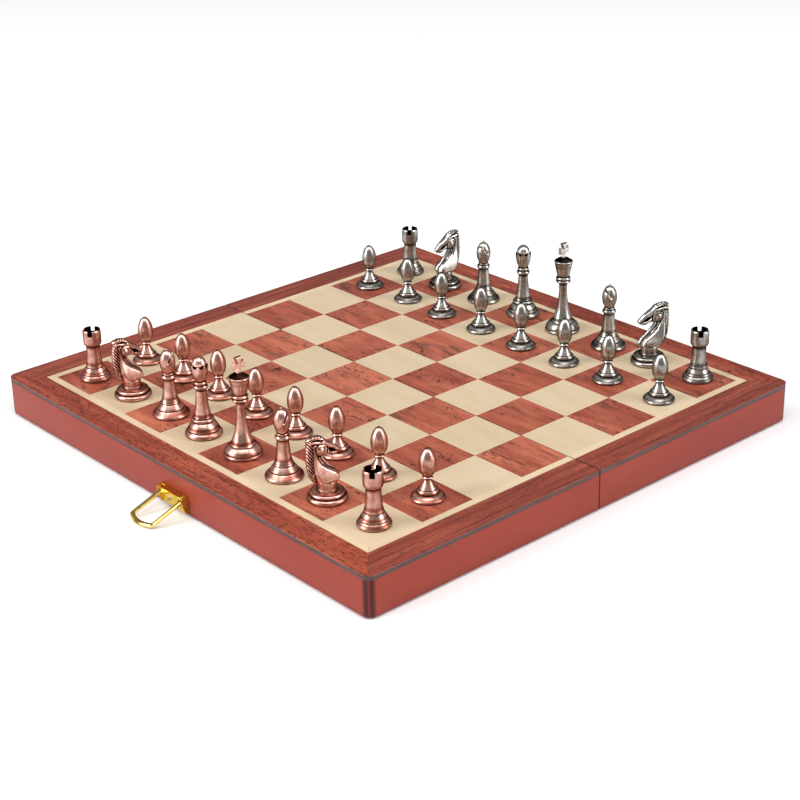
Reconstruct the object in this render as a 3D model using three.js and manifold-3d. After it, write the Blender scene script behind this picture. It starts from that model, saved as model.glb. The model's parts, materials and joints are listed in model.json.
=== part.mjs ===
// Folding chess board, opened flat, with its latch, hinges, storage trays and 32 pieces set up.
// Millimetres, +Z up. X runs along the files from a to h, Y from the latch side to the keeper side.
// The origin is at the middle of the seam, level with the bottom rims of the two halves.

import * as THREE from 'three';
import { mergeVertices } from 'three/addons/utils/BufferGeometryUtils.js';
import Module from 'manifold-3d';

const wasm = await Module();
wasm.setup();

// ---------------------------------------------------------------- driving dimensions

const SQUARE = 41;
const STRINGING = 5.3;
const SIDE_BORDER = 21.2;
const END_BORDER = 18.4;
const BOARD_HEIGHT = 27.2;
const SEAM_GAP = 0.5;
const CORNER_RADIUS = 6;

const HALF_WIDTH = 4 * SQUARE + STRINGING + SIDE_BORDER;
const HALF_DEPTH = 4 * SQUARE + STRINGING + END_BORDER;
const SEAM_FACE = SEAM_GAP / 2;

const WALL = 10;
const PANEL_THICKNESS = 2.7;
const VENEER_THICKNESS = 0.6;
const PANEL_TOP = BOARD_HEIGHT - VENEER_THICKNESS;
const RAIL_HEIGHT = PANEL_TOP - PANEL_THICKNESS;

const TRAY_CLEARANCE = 0.3;
const TRAY_RECESS = 0.8;
const TRAY_MARGIN = 14;
const TRAY_RIB = 12;
const TRAY_FLOOR = 3;

const LATCH_X = 7;
const LATCH_WIDTH = 27;
const LATCH_BOTTOM = 0.7;
const LATCH_TOP = 13.2;
const SHEET = 1;
const PIVOT_STANDOFF = 2.7;
const PIVOT_HEIGHT = 9.5;
const PIVOT_RADIUS = 0.8;
const PIVOT_CLEARANCE = 0.3;
const HOOD_REACH = 4.4;
const HOOD_DROP = 0.6;
const HOOD_BOTTOM = 8.8;
const CHEEK_FOOT = 1.6;
const LOOP_WIDTH = 24.4;
const LOOP_LENGTH = 27.5;
const LOOP_BOW = 3.4;
const LOOP_BAR = 2.9;
const LOOP_HEEL = 0.9;
const LOOP_THICKNESS = 2.4;
const LOOP_ROOM = 0.4;
const LOOP_DROOP = THREE.MathUtils.degToRad(20);

const KEEPER_WIDTH = 24;
const KEEPER_BOTTOM = 4.5;
const KEEPER_TOP = 16.5;
const KEEPER_HOOK_WIDTH = 9;
const KEEPER_HOOK_BOTTOM = 8.5;
const KEEPER_HOOK_TOP = 13.5;
const KEEPER_HOOK_REACH = 5.2;

const SCREW_SHANK = 0.8;
const SCREW_HEAD = 1.5;
const SCREW_HEAD_THICKNESS = 0.7;
const SCREW_LENGTH = 7;
const SCREW_CLEARANCE = 0.3;

const HINGE_X = 120;
const HINGE_AXIS_Z = -0.1;
const HINGE_LENGTH = 38;
const LEAF_HEIGHT = 11;
const LEAF_THICKNESS = 0.7;
const LEAF_CLEARANCE = 0.3;
const KNUCKLE_RADIUS = 1.4;
const KNUCKLE_BORE = 0.75;
const KNUCKLE_GAP = 0.3;
const KNUCKLE_ROOM = 0.45;
const MIDDLE_KNUCKLE = 13;
const HINGE_PIN_RADIUS = 0.6;

const PIECE_GAP = 0.05;
const FILES = ['a', 'b', 'c', 'd', 'e', 'f', 'g', 'h'];
const BACK_RANK = ['rook', 'knight', 'bishop', 'queen', 'king', 'bishop', 'knight', 'rook'];

// ---------------------------------------------------------------- materials

function finish(colour, roughness, metalness) {
  return new THREE.MeshStandardMaterial({ color: colour, roughness, metalness });
}

const LACQUER = [0xa8473a, 0.3, 0];
const PANEL_EDGE = [0x5a463e, 0.4, 0];
const MARQUETRY = [0xc79a6c, 0.35, 0];
const FOAM = [0x1d1d1f, 0.95, 0];
const BRASS = [0xd9ac45, 0.25, 1];
const STEEL = [0xb0a890, 0.35, 1];
const COPPER = [0xb8735a, 0.35, 1];
const PEWTER = [0x9c9890, 0.3, 1];

// ---------------------------------------------------------------- solids

function toSolid(geometry) {
  const bare = geometry.index ? geometry.toNonIndexed() : geometry.clone();
  bare.deleteAttribute('normal');
  bare.deleteAttribute('uv');
  const merged = mergeVertices(bare, 1e-5);
  return new wasm.Manifold(new wasm.Mesh({
    numProp: 3,
    vertProperties: new Float32Array(merged.attributes.position.array),
    triVerts: new Uint32Array(merged.index.array),
  }));
}

function toGeometry(solid) {
  const result = solid.getMesh();
  const geometry = new THREE.BufferGeometry();
  geometry.setAttribute('position', new THREE.BufferAttribute(new Float32Array(result.vertProperties), 3));
  geometry.setIndex(new THREE.BufferAttribute(new Uint32Array(result.triVerts), 1));
  return geometry;
}

function join(first, ...rest) {
  return rest.reduce((sum, geometry) => sum.add(toSolid(geometry)), toSolid(first));
}

function cut(solid, ...geometries) {
  return geometries.reduce((left, geometry) => left.subtract(toSolid(geometry)), solid);
}

// A box given by its lowest and highest corner.
function block(x0, y0, z0, x1, y1, z1) {
  const box = new THREE.BoxGeometry(x1 - x0, y1 - y0, z1 - z0);
  return box.translate((x0 + x1) / 2, (y0 + y1) / 2, (z0 + z1) / 2);
}

// A flat outline in X and Y, extruded from z0 to z1.
function prism(points, z0, z1) {
  const shape = new THREE.Shape(points.map(([x, y]) => new THREE.Vector2(x, y)));
  const body = new THREE.ExtrudeGeometry(shape, { depth: z1 - z0, bevelEnabled: false });
  return body.translate(0, 0, z0);
}

// An outline in Y and Z, extruded along X from x0 to x1.
function sideProfile(points, x0, x1) {
  const shape = new THREE.Shape(points.map(([y, z]) => new THREE.Vector2(y, z)));
  const body = new THREE.ExtrudeGeometry(shape, { depth: x1 - x0, bevelEnabled: false });
  body.rotateZ(Math.PI / 2);
  body.rotateY(Math.PI / 2);
  return body.translate(x0, 0, 0);
}

function rodAlongX(radius, x0, x1, y, z, sides = 12) {
  const rod = new THREE.CylinderGeometry(radius, radius, x1 - x0, sides);
  rod.rotateZ(Math.PI / 2);
  return rod.translate((x0 + x1) / 2, y, z);
}

function rodAlongY(radius, y0, y1, x, z, sides = 10) {
  const rod = new THREE.CylinderGeometry(radius, radius, y1 - y0, sides);
  return rod.translate(x, (y0 + y1) / 2, z);
}

// A turned solid: profile points are [radius, height], from the axis at the bottom to the axis at the top.
function turned(profile, sides = 12) {
  const lathe = new THREE.LatheGeometry(profile.map(([r, z]) => new THREE.Vector2(r, z)), sides);
  return lathe.rotateX(Math.PI / 2);
}

// ---------------------------------------------------------------- the two box halves

const MITRE_STEPS = 3;

// A point on the rounded outer corner; angle 0 is on the side face and 90 degrees on the end face.
function cornerPoint(sideX, sideY, angle) {
  return [
    sideX * (HALF_WIDTH - CORNER_RADIUS + CORNER_RADIUS * Math.cos(angle)),
    sideY * (HALF_DEPTH - CORNER_RADIUS + CORNER_RADIUS * Math.sin(angle)),
  ];
}

function cornerArc(sideX, sideY, from, to) {
  const points = [];
  for (let i = 0; i <= MITRE_STEPS; i += 1) {
    const step = from < to ? i : MITRE_STEPS - i;
    const low = Math.min(from, to);
    points.push(cornerPoint(sideX, sideY, (low * MITRE_STEPS + step) * (Math.PI / 4 / MITRE_STEPS)));
  }
  return points;
}

function outerRailOutline(sideY) {
  return [
    [-(HALF_WIDTH - WALL), sideY * (HALF_DEPTH - WALL)],
    ...cornerArc(-1, sideY, 1, 2),
    ...cornerArc(1, sideY, 2, 1),
    [HALF_WIDTH - WALL, sideY * (HALF_DEPTH - WALL)],
  ];
}

function sideRailOutline(sideX, sideY) {
  return [
    [sideX * (HALF_WIDTH - WALL), sideY * (HALF_DEPTH - WALL)],
    ...cornerArc(sideX, sideY, 1, 0),
    [sideX * HALF_WIDTH, sideY * SEAM_FACE],
    [sideX * (HALF_WIDTH - WALL), sideY * (SEAM_FACE + WALL)],
  ];
}

function seamRailOutline(sideY) {
  return [
    [-HALF_WIDTH, sideY * SEAM_FACE],
    [HALF_WIDTH, sideY * SEAM_FACE],
    [HALF_WIDTH - WALL, sideY * (SEAM_FACE + WALL)],
    [-(HALF_WIDTH - WALL), sideY * (SEAM_FACE + WALL)],
  ];
}

function halfOutline(sideY) {
  return [
    [-HALF_WIDTH, sideY * SEAM_FACE],
    ...cornerArc(-1, sideY, 0, 1),
    ...cornerArc(-1, sideY, 1, 2).slice(1),
    ...cornerArc(1, sideY, 2, 1),
    ...cornerArc(1, sideY, 1, 0).slice(1),
    [HALF_WIDTH, sideY * SEAM_FACE],
  ];
}

// Room for one hinge in a seam rail: a shallow mortise for the leaf and a notch round the barrel.
function hingeRoom(sideY, x) {
  const half = HINGE_LENGTH / 2 + LEAF_CLEARANCE;
  const mortise = SEAM_FACE + LEAF_THICKNESS + LEAF_CLEARANCE;
  const notch = KNUCKLE_RADIUS + KNUCKLE_ROOM;
  return [
    block(x - half, Math.min(0, sideY * mortise), -1, x + half, Math.max(0, sideY * mortise),
      LEAF_HEIGHT + LEAF_CLEARANCE),
    block(x - half, Math.min(0, sideY * notch), -1, x + half, Math.max(0, sideY * notch),
      HINGE_AXIS_Z + notch),
  ];
}

function screwHoles(sideY, screws) {
  const depth = HALF_DEPTH - SCREW_LENGTH - 1;
  return screws.map(([x, z]) => rodAlongY(SCREW_SHANK + SCREW_CLEARANCE,
    Math.min(sideY * depth, sideY * (HALF_DEPTH + 1)), Math.max(sideY * depth, sideY * (HALF_DEPTH + 1)),
    x, z));
}

// The foam tray fills a half between its rails and has two troughs that open downwards.
function tray(sideY) {
  const halfX = HALF_WIDTH - WALL - TRAY_CLEARANCE;
  const inner = SEAM_FACE + WALL + TRAY_CLEARANCE;
  const outer = HALF_DEPTH - WALL - TRAY_CLEARANCE;
  const middle = (inner + outer) / 2;
  const troughX = halfX - TRAY_MARGIN;
  const troughs = [
    [inner + TRAY_MARGIN, middle - TRAY_RIB / 2],
    [middle + TRAY_RIB / 2, outer - TRAY_MARGIN],
  ];
  const boxes = troughs.map(([near, far]) => block(-troughX, Math.min(sideY * near, sideY * far), -1,
    troughX, Math.max(sideY * near, sideY * far), RAIL_HEIGHT - TRAY_FLOOR));
  const foam = block(-halfX, Math.min(sideY * inner, sideY * outer), TRAY_RECESS,
    halfX, Math.max(sideY * inner, sideY * outer), RAIL_HEIGHT);
  return toGeometry(cut(toSolid(foam), ...boxes));
}

// ---------------------------------------------------------------- latch and keeper

const LATCH_FACE = -HALF_DEPTH;
const PIVOT_Y = LATCH_FACE - PIVOT_STANDOFF;
const LATCH_SCREWS = [[LATCH_X - 6, 4.4], [LATCH_X + 6, 4.4]];
const KEEPER_SCREWS = [[LATCH_X - 6.5, 10.5], [LATCH_X + 6.5, 10.5]];

// The bracket is one bent sheet: back plate, a hood between the loop's arms, and a cheek at each end.
function latchBracket() {
  const left = LATCH_X - LATCH_WIDTH / 2;
  const right = LATCH_X + LATCH_WIDTH / 2;
  const lip = LATCH_FACE - HOOD_REACH;
  const hoodHalf = LOOP_WIDTH / 2 - LOOP_BAR - LOOP_ROOM;
  const plate = block(left, LATCH_FACE - SHEET, LATCH_BOTTOM, right, LATCH_FACE, LATCH_TOP);
  const hood = sideProfile([
    [LATCH_FACE, LATCH_TOP],
    [lip, LATCH_TOP - HOOD_DROP],
    [lip, HOOD_BOTTOM],
    [lip + SHEET, HOOD_BOTTOM],
    [lip + SHEET, LATCH_TOP - HOOD_DROP - SHEET],
    [LATCH_FACE, LATCH_TOP - SHEET],
  ], LATCH_X - hoodHalf, LATCH_X + hoodHalf);
  const cheekOutline = [
    [LATCH_FACE, LATCH_BOTTOM],
    [LATCH_FACE, LATCH_TOP],
    [lip, LATCH_TOP - HOOD_DROP],
    [lip, PIVOT_HEIGHT - 2.6],
    [LATCH_FACE - CHEEK_FOOT, LATCH_BOTTOM],
  ];
  const cheeks = [
    sideProfile(cheekOutline, left, left + SHEET),
    sideProfile(cheekOutline, right - SHEET, right),
  ];
  const pivotHole = rodAlongX(PIVOT_RADIUS + PIVOT_CLEARANCE, left - 1, right + 1, PIVOT_Y, PIVOT_HEIGHT);
  const screwRoom = LATCH_SCREWS.map(([x, z]) => rodAlongY(SCREW_SHANK + SCREW_CLEARANCE,
    LATCH_FACE - 2, LATCH_FACE + 1, x, z));
  return toGeometry(cut(join(plate, hood, ...cheeks), pivotHole, ...screwRoom));
}

// The loop's edge from the end of one arm round the bowed end to the other, inset from the outside.
function loopEdge(inset) {
  const half = LOOP_WIDTH / 2;
  const radius = (half * half + LOOP_BOW * LOOP_BOW) / (2 * LOOP_BOW);
  const centre = LOOP_LENGTH - radius;
  const reach = Math.asin((half - inset) / (radius - inset));
  const points = [[-(half - inset), LOOP_HEEL]];
  for (let i = 0; i <= 8; i += 1) {
    const angle = -reach + (2 * reach * i) / 8;
    points.push([(radius - inset) * Math.sin(angle), -centre - (radius - inset) * Math.cos(angle)]);
  }
  points.push([half - inset, LOOP_HEEL]);
  return points;
}

// The bail: two arms with a bowed end, and a stub on each arm that turns in its cheek.
// It is built pointing along -Y from the pivot, then hangs down by its droop.
function latchLoop() {
  const outline = [...loopEdge(0), ...loopEdge(LOOP_BAR).reverse()];
  const bail = prism(outline, -LOOP_THICKNESS / 2, LOOP_THICKNESS / 2);
  const inner = LOOP_WIDTH / 2 - LOOP_BAR / 2;
  const outer = LATCH_WIDTH / 2 - 0.1;
  const stubs = [-1, 1].map((side) => rodAlongX(PIVOT_RADIUS, Math.min(side * inner, side * outer),
    Math.max(side * inner, side * outer), 0, 0));
  return toGeometry(join(bail, ...stubs));
}

function keeper() {
  const left = LATCH_X - KEEPER_WIDTH / 2;
  const right = LATCH_X + KEEPER_WIDTH / 2;
  const face = HALF_DEPTH;
  const plate = block(left, face, KEEPER_BOTTOM, right, face + SHEET, KEEPER_TOP);
  const hook = sideProfile([
    [face, KEEPER_HOOK_BOTTOM],
    [face + SHEET, KEEPER_HOOK_BOTTOM],
    [face + KEEPER_HOOK_REACH, KEEPER_HOOK_TOP - 1.6],
    [face + KEEPER_HOOK_REACH, KEEPER_HOOK_TOP],
    [face, KEEPER_HOOK_TOP],
  ], LATCH_X - KEEPER_HOOK_WIDTH / 2, LATCH_X + KEEPER_HOOK_WIDTH / 2);
  const screwRoom = KEEPER_SCREWS.map(([x, z]) => rodAlongY(SCREW_SHANK + SCREW_CLEARANCE,
    face - 1, face + 2, x, z));
  return toGeometry(cut(join(plate, hook), ...screwRoom));
}

// A pan-head screw that enters the box from outside, on the latch side (-1) or the keeper side (+1).
function screw(sideY, x, z) {
  const under = sideY * (HALF_DEPTH + SHEET);
  const top = under + sideY * SCREW_HEAD_THICKNESS;
  const tip = sideY * (HALF_DEPTH - SCREW_LENGTH);
  const head = rodAlongY(SCREW_HEAD, Math.min(under, top), Math.max(under, top), x, z, 12);
  const shank = rodAlongY(SCREW_SHANK, Math.min(tip, top), Math.max(tip, top), x, z, 10);
  return toGeometry(join(head, shank));
}

// ---------------------------------------------------------------- hinges

// A leaf lies in the seam face of its half. sideY is -1 on the front half, which has the end knuckles.
function hingeLeaf(sideY, x) {
  const half = HINGE_LENGTH / 2;
  const near = sideY * SEAM_FACE;
  const far = sideY * (SEAM_FACE + LEAF_THICKNESS);
  const low = Math.min(near, far);
  const high = Math.max(near, far);
  const clearOfBarrel = HINGE_AXIS_Z + KNUCKLE_RADIUS + KNUCKLE_ROOM;
  const middle = MIDDLE_KNUCKLE / 2;
  const spans = sideY < 0
    ? [[-half, -middle - KNUCKLE_GAP], [middle + KNUCKLE_GAP, half]]
    : [[-middle, middle]];
  const plate = block(x - half, low, clearOfBarrel, x + half, high, LEAF_HEIGHT);
  const tabs = spans.map(([from, to]) => block(x + from, low, 0, x + to, high, clearOfBarrel + 1));
  const knuckles = spans.map(([from, to]) => rodAlongX(KNUCKLE_RADIUS, x + from, x + to, 0, HINGE_AXIS_Z));
  const bore = rodAlongX(KNUCKLE_BORE, x - half - 1, x + half + 1, 0, HINGE_AXIS_Z);
  return toGeometry(cut(join(plate, ...tabs, ...knuckles), bore));
}

function hingePin(x) {
  const half = HINGE_LENGTH / 2;
  return rodAlongX(HINGE_PIN_RADIUS, x - half, x + half, 0, HINGE_AXIS_Z);
}

// ---------------------------------------------------------------- chess pieces

const PAWN = [
  [0, 0], [10.1, 0], [10.6, 1], [7, 4.3], [6.4, 5.6], [3.4, 10], [2.2, 12.8], [3.2, 14.2],
  [2.7, 15.4], [4.6, 18.4], [5.2, 22], [4.2, 27.4], [0, 33.4],
];

const ROOK = [
  [0, 0], [9.9, 0], [10.5, 1.2], [8.6, 4.6], [6.2, 9], [5.7, 10.4], [4.6, 24.6], [6, 26.6],
  [6.1, 36.2], [4.5, 36.2], [4.4, 33.4], [0, 33.4],
];

const BISHOP = [
  [0, 0], [11.6, 0], [12.2, 1.3], [8.8, 5.2], [6.5, 9], [5.8, 10.4], [5.2, 12.2], [4, 20],
  [3.6, 25.6], [4.7, 27.2], [3.8, 29.6], [3.2, 30.4], [5.2, 37.8], [3.9, 43.4], [1, 46.2], [0, 46.8],
];

const QUEEN = [
  [0, 0], [11.5, 0], [12.1, 1.5], [9.9, 4.8], [7.2, 9.8], [7.3, 11.8], [5.8, 13], [4.3, 21],
  [3.2, 30.4], [4.9, 33.8], [3.9, 36.9], [3.3, 38], [5.6, 49.2], [5, 50], [3.4, 53], [0, 54.6],
];

const KING = [
  [0, 0], [11.9, 0], [12.4, 1.4], [11.9, 3.2], [8.2, 7.8], [6.1, 12.6], [4.6, 19], [3.4, 26],
  [3, 34], [5.5, 37.6], [5.2, 40.2], [4.4, 42], [6.6, 52.6], [5.6, 54], [0, 56.2],
];

const KNIGHT_BASE = [
  [0, 0], [11.8, 0], [12.4, 1.4], [11, 3.9], [10.3, 5.4], [6.1, 6.8], [5.9, 13], [0, 13],
];

// The horse seen from its side: forward and up, from the front of the drum round by the mane.
const HORSE_OUTLINE = [
  [5, 12.2], [8.3, 13], [8.4, 16.5], [4.5, 20.8], [0, 25.2], [-3.2, 29.4], [0, 28.8],
  [4.6, 27.8], [7.6, 29], [8.4, 31.4], [5, 35], [0, 38.4], [-3, 42.2], [-8, 43.5],
  [-12.6, 42.2], [-14.3, 36], [-14.3, 27], [-13.2, 20], [-11.8, 15.6], [-7.3, 12.2],
];
const HORSE_WIDTH = 9.6;
const HORSE_BEVEL = 1.6;

function rook() {
  const notchWidth = 2.2;
  const notchBottom = 33.4;
  const notches = [0, 1].map((turn) => {
    const slot = block(-8, -notchWidth / 2, notchBottom, 8, notchWidth / 2, 40);
    return slot.rotateZ(turn * Math.PI / 2 + Math.PI / 4);
  });
  return toGeometry(cut(toSolid(turned(ROOK)), ...notches));
}

// The king's cross has its face towards +X.
function king() {
  const thickness = 3;
  const upright = block(-thickness / 2, -1.2, 55, thickness / 2, 1.2, 66.8);
  const arms = block(-thickness / 2, -4, 60, thickness / 2, 4, 63.2);
  return toGeometry(join(turned(KING), upright, arms));
}

// The knight faces +X before it is turned towards the other side.
function knight() {
  const inner = HORSE_WIDTH - 2 * HORSE_BEVEL;
  const shape = new THREE.Shape(HORSE_OUTLINE.map(([f, z]) => new THREE.Vector2(f, z)));
  const horse = new THREE.ExtrudeGeometry(shape, {
    depth: inner,
    bevelSize: HORSE_BEVEL / 4,
    bevelThickness: HORSE_BEVEL,
    bevelOffset: -HORSE_BEVEL / 4,
    bevelSegments: 1,
  });
  horse.translate(0, 0, -inner / 2);
  horse.rotateX(Math.PI / 2);
  return toGeometry(join(turned(KNIGHT_BASE), horse));
}

const PIECE_SHAPES = {
  pawn: turned(PAWN),
  rook: rook(),
  knight: knight(),
  bishop: turned(BISHOP),
  queen: turned(QUEEN),
  king: king(),
};

// ---------------------------------------------------------------- assembly

const chessSet = new THREE.Group();

function add(parent, name, geometry, look) {
  const mesh = new THREE.Mesh(geometry, finish(...look));
  mesh.name = name;
  parent.add(mesh);
  return mesh;
}

function addHalf(side, sideY, outerRailName, screws) {
  const half = new THREE.Group();
  const outerRail = toSolid(prism(outerRailOutline(sideY), 0, RAIL_HEIGHT));
  const seamRail = toSolid(prism(seamRailOutline(sideY), 0, RAIL_HEIGHT));
  const rooms = [...hingeRoom(sideY, -HINGE_X), ...hingeRoom(sideY, HINGE_X)];
  add(half, outerRailName, toGeometry(cut(outerRail, ...screwHoles(sideY, screws))), LACQUER);
  add(half, `${side}_left_rail`, prism(sideRailOutline(-1, sideY), 0, RAIL_HEIGHT), LACQUER);
  add(half, `${side}_right_rail`, prism(sideRailOutline(1, sideY), 0, RAIL_HEIGHT), LACQUER);
  add(half, `${side}_seam_rail`, toGeometry(cut(seamRail, ...rooms)), LACQUER);
  add(half, `${side}_top_panel`, prism(halfOutline(sideY), RAIL_HEIGHT, PANEL_TOP), PANEL_EDGE);
  add(half, `${side}_playing_surface`, prism(halfOutline(sideY), PANEL_TOP, BOARD_HEIGHT), MARQUETRY);
  add(half, `${side}_storage_tray`, tray(sideY), FOAM);
  chessSet.add(half);
}

function addLatch() {
  add(chessSet, 'latch_bracket', latchBracket(), BRASS);
  const loop = add(chessSet, 'latch_loop', latchLoop(), BRASS);
  loop.position.set(LATCH_X, PIVOT_Y, PIVOT_HEIGHT);
  loop.rotation.x = LOOP_DROOP;
  add(chessSet, 'latch_keeper', keeper(), BRASS);
  const sides = ['left', 'right'];
  LATCH_SCREWS.forEach(([x, z], i) => add(chessSet, `latch_screw_${sides[i]}`, screw(-1, x, z), STEEL));
  KEEPER_SCREWS.forEach(([x, z], i) => add(chessSet, `keeper_screw_${sides[i]}`, screw(1, x, z), STEEL));
}

function addHinge(side, x) {
  add(chessSet, `${side}_hinge_front_leaf`, hingeLeaf(-1, x), BRASS);
  add(chessSet, `${side}_hinge_back_leaf`, hingeLeaf(1, x), BRASS);
  add(chessSet, `${side}_hinge_pin`, hingePin(x), STEEL);
}

// How far each knight is turned from straight ahead, in degrees.
const KNIGHT_TURNS = { b1: 0, g1: -8, b8: -6, g8: -28 };

// How far each piece stands from the middle of its square: towards file h, and towards rank 8.
const OFF_CENTRE = {
  a1: [-0.5, -2], b1: [1, 0], c1: [2, 1.5], d1: [0.5, -1], e1: [0.5, -0.5], f1: [1.5, -1], g1: [1, -0.5],
  h1: [3.6, -1.6], a2: [0.5, -0.5], b2: [2, 0.5], c2: [1, 1], d2: [1, 1], e2: [1, 1], f2: [1, 1],
  g2: [0.5, 0.5], h2: [1, 2], a7: [1, 0.5], b7: [1.5, 2.5], c7: [0, 0.5], d7: [0.5, 0.5], e7: [1, -0.5],
  f7: [1.5, 0], g7: [1, 0], h7: [5, 0.5], a8: [0.5, 2], b8: [0.5, 0.5], c8: [0.5, 2], d8: [1, 2],
  e8: [0.5, 1.5], f8: [3, 2.5], g8: [0, 2], h8: [1, 4],
};

function addPiece(metal, look, kind, fileIndex, rank) {
  const square = `${FILES[fileIndex]}${rank}`;
  const piece = add(chessSet, `${metal}_${kind}_${square}`, PIECE_SHAPES[kind], look);
  const [towardsH, towardsEight] = OFF_CENTRE[square];
  const x = (fileIndex - 3.5) * SQUARE + towardsH;
  const y = (rank - 4.5) * SQUARE + towardsEight;
  piece.position.set(x, y, BOARD_HEIGHT + PIECE_GAP);
  if (kind === 'knight') {
    const ahead = rank < 5 ? 90 : -90;
    piece.rotation.z = THREE.MathUtils.degToRad(ahead + KNIGHT_TURNS[square]);
  }
}

function addArmy(metal, look, homeRank, pawnRank) {
  BACK_RANK.forEach((kind, i) => addPiece(metal, look, kind, i, homeRank));
  FILES.forEach((file, i) => addPiece(metal, look, 'pawn', i, pawnRank));
}

addHalf('front', -1, 'front_latch_rail', LATCH_SCREWS);
addHalf('back', 1, 'back_keeper_rail', KEEPER_SCREWS);
addLatch();
addHinge('left', -HINGE_X);
addHinge('right', HINGE_X);
addArmy('copper', COPPER, 1, 2);
addArmy('pewter', PEWTER, 8, 7);

export default chessSet;
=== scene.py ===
"""Looks for the folding chess set: marquetry board, brass latch and hinges, and 32 cast-metal pieces.

Everything lies in the frame's own axes: X along the files, Y from the latch to the keeper, Z up.
Helpers take millimetres, because that is how the object is drawn; build() turns them into metres.
"""
import json
import math
import random

import bmesh
import bpy
import numpy as np
import openvdb
from mathutils import Matrix, Vector


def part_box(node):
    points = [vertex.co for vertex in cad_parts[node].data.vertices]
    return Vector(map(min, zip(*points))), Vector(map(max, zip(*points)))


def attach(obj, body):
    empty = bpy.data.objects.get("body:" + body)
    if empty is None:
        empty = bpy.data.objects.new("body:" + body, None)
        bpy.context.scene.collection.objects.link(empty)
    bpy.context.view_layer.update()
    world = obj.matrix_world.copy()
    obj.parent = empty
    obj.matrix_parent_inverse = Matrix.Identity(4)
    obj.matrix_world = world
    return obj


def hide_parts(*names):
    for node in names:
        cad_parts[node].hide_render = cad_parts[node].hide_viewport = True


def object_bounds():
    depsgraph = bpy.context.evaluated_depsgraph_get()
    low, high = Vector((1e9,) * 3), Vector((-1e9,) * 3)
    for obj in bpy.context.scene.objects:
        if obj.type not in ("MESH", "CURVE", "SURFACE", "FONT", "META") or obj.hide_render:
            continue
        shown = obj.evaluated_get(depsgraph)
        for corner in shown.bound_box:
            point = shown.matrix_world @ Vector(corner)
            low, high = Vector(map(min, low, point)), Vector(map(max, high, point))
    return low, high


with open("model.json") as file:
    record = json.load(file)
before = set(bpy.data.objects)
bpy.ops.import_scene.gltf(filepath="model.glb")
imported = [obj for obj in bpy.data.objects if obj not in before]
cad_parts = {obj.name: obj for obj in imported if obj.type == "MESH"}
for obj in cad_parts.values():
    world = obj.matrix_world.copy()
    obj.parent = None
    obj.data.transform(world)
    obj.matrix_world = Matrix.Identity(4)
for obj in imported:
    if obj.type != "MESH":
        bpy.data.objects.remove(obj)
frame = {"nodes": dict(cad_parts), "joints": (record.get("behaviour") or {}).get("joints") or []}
cad_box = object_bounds()

MM = 0.001
TURN = 2 * math.pi

# ---------------------------------------------------------------- sizes, in millimetres

SQUARE = 41
STRINGING = 5.3
MICRO_BEVEL = 0.12
RIM_LINE = 0.8
CORNER_RADIUS = 6
CORNER_STEPS = 8
WALL = 10
EDGE_ROUNDING = 0.5
SEAM_EASE = 0.25
FELT_HEIGHT = 0.45
LATHE_SIDES = 48
GRAIN_SHIFT = 900
TRAY_MARGIN = 14
TRAY_RIB = 12
TRAY_FLOOR = 3


def millimetres(point):
    return [value / MM for value in point]


def box_mm(node):
    """(lowest corner, highest corner) of a CAD node, in millimetres."""
    low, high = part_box(node)
    return millimetres(low), millimetres(high)


SURFACE_LOW, SURFACE_HIGH = box_mm("back_playing_surface")
PANEL_LOW, PANEL_HIGH = box_mm("back_top_panel")
RAIL_LOW, RAIL_HIGH = box_mm("back_keeper_rail")
HALF_WIDTH = SURFACE_HIGH[0]
HALF_DEPTH = SURFACE_HIGH[1]
SEAM_FACE = SURFACE_LOW[1]
BOARD_TOP = SURFACE_HIGH[2]

# ---------------------------------------------------------------- node materials


def colour(red, green, blue):
    """A linear RGBA colour from screen values, 0 to 255."""
    def linear(value):
        share = value / 255
        return share / 12.92 if share <= 0.04045 else ((share + 0.055) / 1.055) ** 2.4
    return (linear(red), linear(green), linear(blue), 1)


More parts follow.
